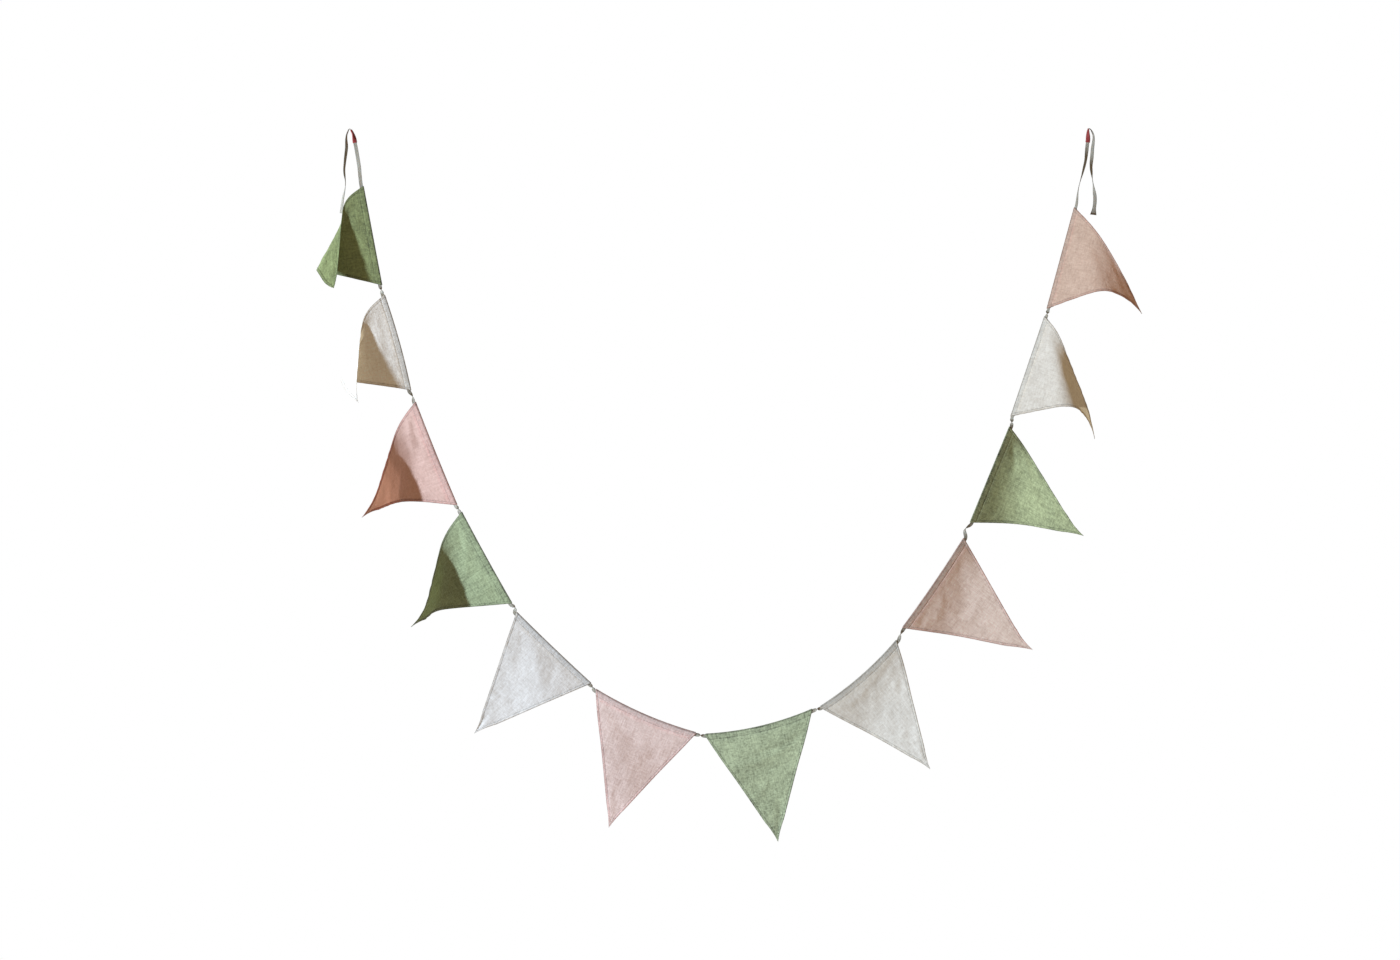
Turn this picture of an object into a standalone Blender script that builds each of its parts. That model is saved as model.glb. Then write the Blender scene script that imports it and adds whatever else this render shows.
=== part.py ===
"""Linen bunting: twelve pennants threaded by their casings on one long cotton tape.

The tape's two ends are ties.  Each one goes over a hook as a loop, with a short red
thread whipping below its crown and a free tail.  The bunting hangs in a deep curve
between the two loops.  X runs along it, +Z is up, and -Y is the side that is looked at.
The origin is the crown of the left loop.
All sizes in the tables are millimetres and degrees.
"""
import math

import bmesh
import bpy
import numpy as np

MM = 0.001
VIEWER = np.array((0.0, -1.0, 0.0))

# The woven tape and the linen
TAPE_WIDTH = 6.5
TAPE_THICK = 1.0
FRAYED_WIDTH = 12.0      # the cut end of the right tail, opened out
FRAYED_LENGTH = 14.0
CLOTH_THICK = 1.2
WHIPPING_THICK = 0.8
WHIPPING_LENGTH = 25.0
GAP = 0.4                # between the tape and the cloth or thread round it

# The casing: the top of a pennant folded back over the tape and sewn down
LAYER = TAPE_THICK / 2 + GAP + CLOTH_THICK / 2      # middle of a layer, from the tape's middle
TURN_CENTRE = -TAPE_WIDTH / 2 + 0.1
TURN_STEPS = 4
CASING_DEPTH = 12.0
SEAM_START = TAPE_WIDTH / 2 + 2.6
SEAM_GAP = 0.3
FLAT_ZONE = 12.0         # a pennant stays flat this far from its hanging corner

# Mesh steps
ROWS = 10
RAYS = 12
GAP_STEPS = 14
TIE_STEP = 6.0
TWIST_MARGIN = 1.5

# Ties: x, y, z of the tape's middle, and how far the tape is turned from facing the viewer.
# The left tie is read from its free end up and over the hook, the right one the other way.
TIE_LEFT = (
    (-16, 5, -154, 35), (-13, 4, -129, 55), (-8, 2, -98, 90), (-10, 1, -80, 115),
    (-6, 0, -34, 140), (-4, 0, -6, 100), (0, 0, 0, 90), (4, 0, -5, 75),
    (10, 0, -28, 12), (16, 0, -62, 2),
)
TIE_RIGHT = (
    (1332, 0, -103, 92), (1343, 0, -62, 135), (1348, 0, -22, 195), (1352, 0, 0, 270),
    (1356, 0, -6, 285), (1356, 0, -42, 330), (1354, 0, -72, 400), (1357, 0, -97, 450),
    (1361, 0, -128, 525), (1358, 0, -157, 540),
)
LEFT_CROWN, RIGHT_CROWN = 6, 3

# Pennants, left to right.  left, right: x, z of the tape where it enters and leaves the
# casing.  sag: how far the tape drops between them.  upper, lower: length of the free
# side from the upper and from the lower corner.  turn: swing of the cloth about the tape,
# towards the viewer.  bend: length over which a side that leaves the upper corner flat
# bends down into its fold.  out, up: how far the tip curls away from the garland's
# middle and upward.  pinch: how much the last of the tip is drawn in.  slack: how far the
# tape bows outward in the gap that follows.
PENNANTS = (
    dict(name="pennant_01_green", left=(21, -105), right=(55, -286), sag=0,
         upper=232, lower=229, turn=15, bend=62, out=2, up=19, pinch=0.2, slack=0),
    dict(name="pennant_02_white", left=(60, -304), right=(108, -478), sag=-3,
         upper=234, lower=231, turn=20, bend=81, out=-7, up=5, pinch=0.3, slack=2),
    dict(name="pennant_03_pink", left=(117, -500), right=(193, -688), sag=1,
         upper=240, lower=239, turn=-28, bend=83, out=16, up=-7, pinch=0.5, slack=1),
    dict(name="pennant_04_green", left=(201, -701), right=(293, -868), sag=1,
         upper=239, lower=240, turn=-6, bend=83, out=19, up=-1, pinch=0.6, slack=5),
    dict(name="pennant_05_white", left=(302, -885), right=(438, -1015), sag=1,
         upper=235, lower=233, turn=9, bend=75, out=2, up=0, pinch=0.4, slack=1),
    dict(name="pennant_06_pink", left=(447, -1026), right=(631, -1106), sag=7,
         upper=251, lower=235, turn=-7, bend=60, out=0, up=-3, pinch=0.2, slack=0),
    dict(name="pennant_07_green", left=(650, -1109), right=(846, -1063), sag=9,
         upper=249, lower=237, turn=7, bend=75, out=0, up=-1, pinch=0.3, slack=1),
    dict(name="pennant_08_white", left=(861, -1058), right=(1001, -936), sag=7,
         upper=243, lower=236, turn=-5, bend=75, out=1, up=-2, pinch=0.3, slack=1),
    dict(name="pennant_09_pink", left=(1012, -913), right=(1124, -749), sag=2,
         upper=239, lower=241, turn=-18, bend=70, out=8, up=2, pinch=0.3, slack=7),
    dict(name="pennant_10_green", left=(1136, -720), right=(1208, -545), sag=0,
         upper=244, lower=231, turn=-24, bend=56, out=8, up=-1, pinch=0.3, slack=0),
    dict(name="pennant_11_white", left=(1210, -526), right=(1272, -343), sag=0,
         upper=243, lower=239, turn=44, bend=66, out=-6, up=-12, pinch=0.4, slack=0),
    dict(name="pennant_12_pink", left=(1276, -329), right=(1326, -144), sag=0,
         upper=239, lower=239, turn=50, bend=150, out=2, up=-14, pinch=0.3, slack=0),
)

# Folds: every fold starts at the upper corner and runs out to the lower side.  foot: where
# it ends there, as a share of that side from the lower corner.  angle: how far the cloth
# beyond it turns towards the viewer.  soft: half the share of the side that it is spread over.
FOLDS = {
    "pennant_01_green": (dict(foot=0.56, angle=166, soft=0.14),),
    "pennant_02_white": (dict(foot=0.58, angle=147, soft=0.05),),
    "pennant_03_pink": (dict(foot=0.4, angle=104, soft=0.24),),
    "pennant_04_green": (dict(foot=0.54, angle=101, soft=0.25),),
    "pennant_05_white": (dict(foot=0.35, angle=-22, soft=0.25), dict(foot=0.7, angle=14, soft=0.2)),
    "pennant_06_pink": (dict(foot=0.35, angle=20, soft=0.25), dict(foot=0.75, angle=-14, soft=0.2)),
    "pennant_07_green": (dict(foot=0.3, angle=-9, soft=0.25), dict(foot=0.7, angle=7, soft=0.25)),
    "pennant_08_white": (dict(foot=0.41, angle=30, soft=0.3),),
    "pennant_09_pink": (dict(foot=0.4, angle=32, soft=0.3),),
    "pennant_10_green": (dict(foot=0.35, angle=68, soft=0.3),),
    "pennant_11_white": (dict(foot=0.55, angle=-116, soft=0.2),),
    "pennant_12_pink": (dict(foot=0.55, angle=-108, soft=0.2),),
}

# Colours, roughness
FINISHES = {
    "green": ((0.30, 0.36, 0.22, 1), 0.9),
    "white": ((0.74, 0.73, 0.68, 1), 0.9),
    "pink": ((0.62, 0.45, 0.40, 1), 0.9),
    "tape": ((0.70, 0.68, 0.60, 1), 0.85),
    "whipping": ((0.25, 0.02, 0.02, 1), 0.7),
}

TIP_CURL_REACH = 62.0
TIP_PINCH_REACH = 42.0
SAG_FADE = 90.0          # depth over which the cloth loses the bow of its cord edge


def unit(v):
    return v / np.linalg.norm(v)


def smooth(x):
    x = np.clip(x, 0.0, 1.0)
    return x * x * (3 - 2 * x)


# The tape's route

class Route:
    """A smooth line through the knots, read by its length from the free left end."""

    def __init__(self, knots, headings, steps=14):
        pts = [np.array(k, float) for k in knots]
        line = []
        for k in range(len(pts) - 1):
            line += [self.stretch(pts, headings, k, i / steps) for i in range(steps)]
        self.line = np.array(line + [pts[-1]])
        spans = np.linalg.norm(np.diff(self.line, axis=0), axis=1)
        self.arc = np.concatenate(([0.0], np.cumsum(spans)))
        self.knot_arcs = self.arc[::steps]
        self.length = self.arc[-1]
        self.twists = []

    @staticmethod
    def stretch(pts, headings, k, u):
        """Cubic from knot k to the next one, leaving and arriving along the headings."""
        a, b = pts[k], pts[k + 1]
        span = np.linalg.norm(b - a)
        v = 1 - u
        return (v * v * (1 + 2 * u) * a + u * u * (1 + 2 * v) * b
                + u * v * span * (v * headings[k] - u * headings[k + 1]))

    def at(self, s):
        return np.array([np.interp(s, self.arc, self.line[:, i]) for i in range(3)])

    def twist(self, s):
        """The tape's turn from facing the viewer, eased between the twist marks."""
        marks = self.twists
        if s <= marks[0][0]:
            return marks[0][1]
        for (s0, a0), (s1, a1) in zip(marks, marks[1:]):
            if s <= s1:
                return a0 + (a1 - a0) * smooth((s - s0) / (s1 - s0))
        return marks[-1][1]

    def frame(self, s, twist=None):
        """Middle, direction, width direction and face normal of the tape."""
        ahead = unit(self.at(min(s + 1, self.length)) - self.at(max(s - 1, 0)))
        across = unit(np.array((ahead[2], 0.0, -ahead[0])))
        face = np.cross(across, ahead)
        a = math.radians(self.twist(s) if twist is None else twist)
        return (self.at(s), ahead, across * math.cos(a) + face * math.sin(a),
                face * math.cos(a) - across * math.sin(a))


def free_headings(knots):
    """Headings of a tie's knots, each from its neighbours, the nearer one counting more."""
    pts = [np.array(k, float) for k in knots]
    steps = [b - a for a, b in zip(pts, pts[1:])]
    inner = [unit(unit(a) * np.linalg.norm(b) + unit(b) * np.linalg.norm(a))
             for a, b in zip(steps, steps[1:])]
    return [unit(steps[0])] + inner + [unit(steps[-1])]


def bowed(start, end, drop):
    """Middle knot and the three headings of a stretch that drops below its chord."""
    along = unit(end - start)
    down = np.array((along[2], 0.0, -along[0]))
    dip = 4 * drop / np.linalg.norm(end - start) * down
    return (start + end) / 2 + drop * down, (unit(along + dip), along, unit(along - dip))


def tape_route():
    """The tape from its left tail, over the left loop, through the casings, to the right tail."""
    knots = [row[:3] for row in TIE_LEFT]
    headings = free_headings(knots)
    first = len(knots)
    for row, after in zip(PENNANTS, PENNANTS[1:] + (None,)):
        left, right = (np.array((row[k][0], 0.0, row[k][1])) for k in ("left", "right"))
        middle, ways = bowed(left, right, row["sag"])
        knots += [left, middle, right]
        headings += ways
        if after:
            middle, ways = bowed(right, np.array((after["left"][0], 0.0, after["left"][1])), -row["slack"])
            knots.append(middle)
            headings.append(ways[1])
    last = len(knots)
    tie = [row[:3] for row in TIE_RIGHT]
    route = Route(knots + tie, headings + free_headings(tie))
    arcs = route.knot_arcs
    route.crowns = (arcs[LEFT_CROWN], arcs[last + RIGHT_CROWN])
    route.casings = {row["name"]: (arcs[first + 4 * k], arcs[first + 4 * k + 2])
                     for k, row in enumerate(PENNANTS)}
    route.twists = twist_marks(route, arcs[:first], arcs[last:])
    return route


def twist_marks(route, left_arcs, right_arcs):
    """Half a turn of the tape in every gap between two pennants."""
    marks = [(arc, row[3]) for arc, row in zip(left_arcs, TIE_LEFT)]
    for half_turns, row in enumerate(PENNANTS):
        start, end = route.casings[row["name"]]
        angle = row["turn"] + 180 * half_turns
        marks += [(start - TWIST_MARGIN, angle), (end + TWIST_MARGIN, angle)]
    whole = 180 * (len(PENNANTS) - 1)
    return marks + [(arc, row[3] + whole) for arc, row in zip(right_arcs, TIE_RIGHT)]


# A pennant as it hangs

class Pennant:
    """Takes a place on the flat cut cloth to its place in space.

    On the flat cloth x runs along the cord edge from the upper corner and y away from it.
    Straight threads from the upper corner to the lower side keep their lengths: each one
    leaves the corner flat and then bends into the direction that the folds give it.
    """
    THREADS = 61
    STATIONS = 31

    def __init__(self, route, row):
        self.route, self.row = route, row
        self.side = 1 if row["right"][1] > row["left"][1] else -1
        self.start, self.end = route.casings[row["name"]]
        self.width = self.end - self.start
        self.t = np.linspace(0, 1, self.THREADS)
        self.s = np.linspace(0, 1, self.STATIONS)
        a, b, w = row["upper"], row["lower"], self.width
        tip_x = (a * a - b * b + w * w) / (2 * w)
        self.lower = np.array((w, 0.0))
        self.tip = np.array((tip_x, math.sqrt(a * a - tip_x * tip_x)))
        self.axis = unit(self.lower / 2 - self.tip)
        self.grid = self.hang()

    def cord_arc(self, x):
        return self.start + x if self.side < 0 else self.end - x

    def cord_frame(self, x):
        """Frame of the tape where the cloth's x is, with the direction from corner to corner."""
        place, ahead, down, face = self.route.frame(self.cord_arc(x), self.row["turn"])
        return place, -self.side * ahead, down, face

    def cord_edge(self, x):
        place, _, down, face = self.cord_frame(x)
        return place + TURN_CENTRE * down + LAYER * face

    def fold_rate(self, t):
        """Degrees of fold for each unit of the lower side."""
        rate = 0.0
        for fold in FOLDS[self.row["name"]]:
            x = (t - fold["foot"]) / fold["soft"]
            if abs(x) < 1:
                rate += fold["angle"] * (1 + math.cos(math.pi * x)) / (2 * fold["soft"])
        return rate

    def thread_directions(self, angles):
        """Direction of every thread in the flat and in the folded cloth."""
        start, end = self.cord_edge(0), self.cord_edge(self.width)
        along = unit(end - start)
        down = self.side * unit(np.array((-along[2], 0.0, along[0])))
        turn = math.radians(self.row["turn"])
        tangent = down * math.cos(turn) + VIEWER * math.sin(turn)
        normal = VIEWER * math.cos(turn) - down * math.sin(turn)
        flat = [along * math.cos(a) + tangent * math.sin(a) for a in angles]
        folded, ray = [along], along
        parts = 5
        for k in range(1, len(angles)):
            step = (angles[k] - angles[k - 1]) / parts
            span = (self.t[k] - self.t[k - 1]) / parts
            for part in range(parts):
                fold = math.radians(self.fold_rate(self.t[k - 1] + (part + 0.5) * span) * span)
                tangent, normal = (tangent * math.cos(fold) + normal * math.sin(fold),
                                   normal * math.cos(fold) - tangent * math.sin(fold))
                ray, tangent = (ray * math.cos(step) + tangent * math.sin(step),
                                tangent * math.cos(step) - ray * math.sin(step))
            folded.append(ray)
        return flat, folded

    def hang(self):
        feet = self.lower + self.t[:, None] * (self.tip - self.lower)
        lengths = np.linalg.norm(feet, axis=1)
        angles = np.arctan2(feet[:, 1], feet[:, 0])
        flat, folded = self.thread_directions(angles)
        grid = np.zeros((self.THREADS, self.STATIONS, 3))
        for k, length in enumerate(lengths):
            place, parts = self.cord_edge(0), 3
            grid[k, 0] = place
            for j in range(1, self.STATIONS):
                for part in range(parts):
                    run = length * (j - 1 + (part + 0.5) / parts) / (self.STATIONS - 1)
                    share = smooth((run - FLAT_ZONE) / self.row["bend"])
                    ahead = unit(flat[k] * (1 - share) + folded[k] * share)
                    place = place + ahead * length / (self.STATIONS - 1) / parts
                grid[k, j] = place
        on_cloth = feet[:, None, :] * self.s[None, :, None]
        return grid + self.cord_bow(on_cloth) + self.tip_curl(on_cloth)

    def cord_bow(self, flat):
        """The sag of the cord edge, carried whole through the casing and then let go."""
        start, end = self.cord_edge(0), self.cord_edge(self.width)
        bow = np.array([self.cord_edge(s * self.width) - start - s * (end - start) for s in self.s])
        share = np.clip(flat[:, :, 0] / self.width, 0, 1)
        kept = 1 - smooth((flat[:, :, 1] - CASING_DEPTH) / SAG_FADE)
        return np.stack([kept * np.interp(share, self.s, bow[:, i]) for i in range(3)], axis=2)

    def tip_curl(self, flat):
        """The tip bends outward and up over its last stretch."""
        near = np.clip(1 - np.linalg.norm(flat - self.tip, axis=2) / TIP_CURL_REACH, 0, 1) ** 2
        return near[:, :, None] * np.array((self.side * self.row["out"], 0.0, self.row["up"]))

    def narrowed(self, flat):
        """Draws the cloth in towards its centre line near the tip."""
        off = flat - self.tip
        reach = np.linalg.norm(off)
        pull = self.row["pinch"] * max(0.0, 1 - reach / TIP_PINCH_REACH)
        middle = self.tip + self.axis * reach
        return flat + (middle - flat) * pull

    def at(self, x, y):
        flat = self.narrowed(np.array((x, y)))
        side = self.tip - self.lower
        cross = flat[0] * side[1] - flat[1] * side[0]
        t = (flat[1] * self.lower[0] - flat[0] * self.lower[1]) / max(cross, 1e-9)
        t = min(max(t, 0.0), 1.0)
        s = np.linalg.norm(flat) / np.linalg.norm(self.lower + t * side)
        return self.read(t, min(s, 1.0))

    def read(self, t, s):
        a, b = t * (self.THREADS - 1), s * (self.STATIONS - 1)
        i, j = min(int(a), self.THREADS - 2), min(int(b), self.STATIONS - 2)
        a, b = a - i, b - j
        g = self.grid
        return ((1 - a) * (1 - b) * g[i, j] + a * (1 - b) * g[i + 1, j]
                + (1 - a) * b * g[i, j + 1] + a * b * g[i + 1, j + 1])

    def normal(self, x, y, step=1.5):
        """Face normal, read a little inside the cut edges."""
        middle = (self.lower + self.tip) / 3
        x, y = np.array((x, y)) + unit(middle - (x, y)) * 2 * step
        dx = self.at(x + step, y) - self.at(x - step, y)
        dy = self.at(x, y + step) - self.at(x, y - step)
        return self.side * unit(np.cross(dx, dy))


def thread_feet(pennant):
    """Where the mesh's threads end on the lower side: closer together where the cloth folds."""
    t = np.linspace(0, 1, 241)
    weight = np.array([1 + abs(pennant.fold_rate(v)) / 90 for v in t])
    total = np.concatenate(([0.0], np.cumsum((weight[1:] + weight[:-1]) / 2)))
    return np.interp(np.linspace(0, total[-1], RAYS + 1), total, t)


def stations():
    return [j / ROWS for j in range(ROWS + 1)]


def casing_rows(pennant):
    """Rows of points of the cloth that turns over the tape and comes down behind it."""
    left = pennant.width / (2 * pennant.tip[1])
    rows = []
    turns = [(TURN_CENTRE - LAYER * math.sin(a), LAYER * math.cos(a))
             for a in (math.pi * k / TURN_STEPS for k in range(1, TURN_STEPS + 1))]
    for across, out in turns:
        row = []
        for s in stations():
            place, _, down, face = pennant.cord_frame(s * pennant.width)
            row.append(place + across * down + out * face)
        rows.append(row)
    seam = LAYER - CLOTH_THICK - SEAM_GAP
    for across, out in ((SEAM_START - 2.2, -LAYER), (SEAM_START, seam), (CASING_DEPTH - 3.1, seam)):
        depth = across - TURN_CENTRE
        inset = depth * left
        row = []
        for s in stations():
            x = inset + s * (pennant.width - 2 * inset)
            row.append(pennant.at(x, depth) - (LAYER - out) * pennant.normal(x, depth))
        rows.append(row)
    return rows


def pennant_mesh(pennant):
    """The middle surface of the cloth: threads from the corner, then the casing."""
    mesh = bmesh.new()
    corner = mesh.verts.new(pennant.cord_edge(0) * MM)
    side = pennant.tip - pennant.lower
    threads = []
    for t in thread_feet(pennant):
        foot = pennant.lower + t * side
        threads.append([corner] + [mesh.verts.new(pennant.at(*(foot * s)) * MM) for s in stations()[1:]])
    rows = [threads[0]]
    for row in casing_rows(pennant):
        rows.append([mesh.verts.new(p * MM) for p in row])
    for a, b in zip(threads, threads[1:]):
        mesh.faces.new((corner, a[1], b[1]))
        for j in range(1, ROWS):
            mesh.faces.new((a[j], a[j + 1], b[j + 1], b[j]))
    for a, b in zip(rows, rows[1:]):
        for j in range(ROWS):
            mesh.faces.new((b[j], b[j + 1], a[j + 1], a[j]))
    if pennant.side > 0:
        bmesh.ops.reverse_faces(mesh, faces=mesh.faces[:])
    return mesh


# Objects

def finish(name):
    if name in bpy.data.materials:
        return bpy.data.materials[name]
    colour, roughness = FINISHES[name]
    material = bpy.data.materials.new(name)
    material.use_nodes = True
    shader = material.node_tree.nodes["Principled BSDF"]
    shader.inputs["Base Color"].default_value = colour
    shader.inputs["Roughness"].default_value = roughness
    return material


def add_object(name, mesh, material):
    data = bpy.data.meshes.new(name)
    mesh.to_mesh(data)
    mesh.free()
    data.materials.append(finish(material))
    data.shade_smooth()
    item = bpy.data.objects.new(name, data)
    bpy.context.scene.collection.objects.link(item)
    return item


def add_pennant(route, row):
    item = add_object(row["name"], pennant_mesh(Pennant(route, row)), row["name"].split("_")[-1])
    thicken = item.modifiers.new("linen", "SOLIDIFY")
    thicken.thickness = CLOTH_THICK * MM
    thicken.offset = 0.0
    thicken.use_even_offset = True


def tape_stations(route):
    """Lengths along the tape at which its section is drawn."""
    casings = list(route.casings.values())
    marks = list(np.arange(0, casings[0][0], TIE_STEP))
    marks += list(np.arange(route.crowns[0] - 12, route.crowns[0] + 12, TIE_STEP / 3))
    for start, end in casings:
        marks += [start + s * (end - start) for s in stations()]
    for (_, end), (start, _) in zip(casings, casings[1:]):
        marks += list(np.linspace(end, start, GAP_STEPS + 1)[1:-1])
    marks += list(np.arange(casings[-1][1] + TIE_STEP, route.length, TIE_STEP))
    marks += list(np.arange(route.crowns[1] - 12, route.crowns[1] + 12, TIE_STEP / 3))
    marks += [route.length - FRAYED_LENGTH, route.length - FRAYED_LENGTH / 2, route.length]
    return thinned(sorted(marks))


def thinned(marks, least=0.9):
    kept = [marks[0]]
    for mark in marks[1:]:
        if mark - kept[-1] > least:
            kept.append(mark)
    return kept


def tape_half_width(route, s):
    opened = max(0.0, 1 - (route.length - s) / FRAYED_LENGTH) ** 1.5
    return (TAPE_WIDTH + (FRAYED_WIDTH - TAPE_WIDTH) * opened) / 2


def section(mesh, route, s, half_width, half_thick):
    """Four corners of a flat section of the tape, or of the thread round it."""
    place, _, across, face = route.frame(s)
    corners = ((1, 1), (-1, 1), (-1, -1), (1, -1))
    return [mesh.verts.new((place + a * half_width * across + b * half_thick * face) * MM)
            for a, b in corners]


def skin(mesh, sections):
    """Joins the sections.  Both wide faces are split the same way, so that a twist keeps its thickness."""
    for a, b in zip(sections, sections[1:]):
        for k in range(4):
            corners = (a[k], a[k - 1], b[k - 1], b[k])
            first = 0 if k in (0, 1) else 1
            p, q, r, s = corners[first:] + corners[:first]
            mesh.faces.new((p, q, r))
            mesh.faces.new((p, r, s))


def add_tape(route):
    mesh = bmesh.new()
    sections = [section(mesh, route, s, tape_half_width(route, s), TAPE_THICK / 2)
                for s in tape_stations(route)]
    skin(mesh, sections)
    mesh.faces.new(sections[0])
    mesh.faces.new(sections[-1][::-1])
    bmesh.ops.recalc_face_normals(mesh, faces=mesh.faces[:])
    add_object("tape", mesh, "tape")


def add_whipping(route, name, start, end):
    """A sleeve of wound thread that follows the tape's own sections."""
    stops = [s for s in tape_stations(route) if start <= s <= end]
    inner_width = TAPE_WIDTH / 2 + GAP
    inner_thick = TAPE_THICK / 2 + GAP
    mesh = bmesh.new()
    inner = [section(mesh, route, s, inner_width, inner_thick) for s in stops]
    outer = [section(mesh, route, s, inner_width + WHIPPING_THICK, inner_thick + WHIPPING_THICK)
             for s in stops]
    skin(mesh, inner)
    skin(mesh, outer)
    for k in range(4):
        mesh.faces.new((inner[0][k], inner[0][k - 1], outer[0][k - 1], outer[0][k]))
        mesh.faces.new((inner[-1][k], inner[-1][k - 1], outer[-1][k - 1], outer[-1][k]))
    bmesh.ops.recalc_face_normals(mesh, faces=mesh.faces[:])
    add_object(name, mesh, "whipping")


def clear_scene():
    for item in list(bpy.data.objects):
        bpy.data.objects.remove(item, do_unlink=True)


def build():
    clear_scene()
    route = tape_route()
    add_tape(route)
    left, right = route.crowns
    add_whipping(route, "whipping_left", left + 3, left + 3 + WHIPPING_LENGTH)
    add_whipping(route, "whipping_right", right - 3 - WHIPPING_LENGTH, right - 3)
    for row in PENNANTS:
        add_pennant(route, row)


build()
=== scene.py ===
import math

import bpy
import numpy as np
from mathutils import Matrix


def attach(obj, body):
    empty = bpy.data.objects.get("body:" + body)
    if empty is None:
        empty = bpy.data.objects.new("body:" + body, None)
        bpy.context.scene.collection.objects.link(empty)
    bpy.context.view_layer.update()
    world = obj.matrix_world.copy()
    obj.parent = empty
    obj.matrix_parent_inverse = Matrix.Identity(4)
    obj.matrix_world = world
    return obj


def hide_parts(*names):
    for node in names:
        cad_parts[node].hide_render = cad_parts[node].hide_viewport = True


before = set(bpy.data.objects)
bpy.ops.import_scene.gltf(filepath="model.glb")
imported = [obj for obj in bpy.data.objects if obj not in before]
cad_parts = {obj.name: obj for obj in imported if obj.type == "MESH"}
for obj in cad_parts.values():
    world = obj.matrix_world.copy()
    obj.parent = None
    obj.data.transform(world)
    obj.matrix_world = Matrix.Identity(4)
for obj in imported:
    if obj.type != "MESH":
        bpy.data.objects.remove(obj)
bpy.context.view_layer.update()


# The camera looks straight at the bunting from the height of its middle, as in the photo.  It
# stands far off with a long lens, so that both ends show square on.

CAMERA_DISTANCE = 9.0     # metres
VIEW_WIDTH = 2.557        # metres across the picture at the bunting
camera = bpy.data.objects.new("camera", bpy.data.cameras.new("camera"))
camera.data.lens = camera.data.sensor_width * CAMERA_DISTANCE / VIEW_WIDTH
camera.location = (0.6396, -CAMERA_DISTANCE, -0.6413)
camera.rotation_euler = (math.radians(90), 0, 0)
bpy.context.scene.collection.objects.link(camera)
bpy.context.scene.camera = camera


# Cotton tape: one narrow herringbone tape, woven with two firm edges.  Each end goes up, turns
# over and hangs down again as a free tail.  Between them it runs through the twelve casings
# and turns over half-way in every gap.  The right tail's cut end has frayed open.
# Its sizes and places are in millimetres, from the crown of the left tie.

MM = 0.001
TAPE_WIDTH = 6.5
TAPE_THICK = 1.0
FRAYED_WIDTH = 12.0
FRAYED_LENGTH = 14.0
TWIST_MARGIN = 1.5        # how far outside a casing the tape starts to turn over
TIE_STEP = 2.0            # between the drawn sections of a tie
CASING_STEP = 6.0         # and of the stretch inside a casing
GAP_STEPS = 18            # drawn sections in each gap

# x, y, z of the tape's middle, and its turn from facing the viewer
TIE_LEFT = (
    (-16, 5, -154, 35), (-13, 4, -129, 55), (-8, 2, -98, 90), (-10, 1, -80, 115),
    (-6, 0, -34, 140), (-4, 0, -6, 100), (0, 0, 0, 90), (4, 0, -5, 75),
    (10, 0, -28, 12), (16, 0, -62, 2),
)
TIE_RIGHT = (
    (1332, 0, -103, 92), (1343, 0, -62, 135), (1348, 0, -22, 195), (1352, 0, 0, 270),
    (1356, 0, -6, 285), (1356, 0, -42, 330), (1354, 0, -72, 400), (1357, 0, -97, 450),
    (1361, 0, -128, 525), (1358, 0, -157, 540),
)
LEFT_CROWN, RIGHT_CROWN = 6, 3

# Where the tape enters and leaves each casing, how far it sags in it, how the casing is
# turned towards the viewer, and how far the tape bows outward in the gap that follows
CASINGS = (
    dict(left=(21, -105), right=(55, -286), sag=0, turn=15, slack=0),
    dict(left=(60, -304), right=(108, -478), sag=-3, turn=20, slack=2),
    dict(left=(117, -500), right=(193, -688), sag=1, turn=-28, slack=1),
    dict(left=(201, -701), right=(293, -868), sag=1, turn=-6, slack=5),
    dict(left=(302, -885), right=(438, -1015), sag=1, turn=9, slack=1),
    dict(left=(447, -1026), right=(631, -1106), sag=7, turn=-7, slack=0),
    dict(left=(650, -1109), right=(846, -1063), sag=9, turn=7, slack=1),
    dict(left=(861, -1058), right=(1001, -936), sag=7, turn=-5, slack=1),
    dict(left=(1012, -913), right=(1124, -749), sag=2, turn=-18, slack=7),
    dict(left=(1136, -720), right=(1208, -545), sag=0, turn=-24, slack=0),
    dict(left=(1210, -526), right=(1272, -343), sag=0, turn=44, slack=0),
    dict(left=(1276, -329), right=(1326, -144), sag=0, turn=50, slack=0),
)


def unit(v):
    return v / np.linalg.norm(v, axis=-1, keepdims=True)


def smooth(x):
    x = np.clip(x, 0.0, 1.0)
    return x * x * (3 - 2 * x)


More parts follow.
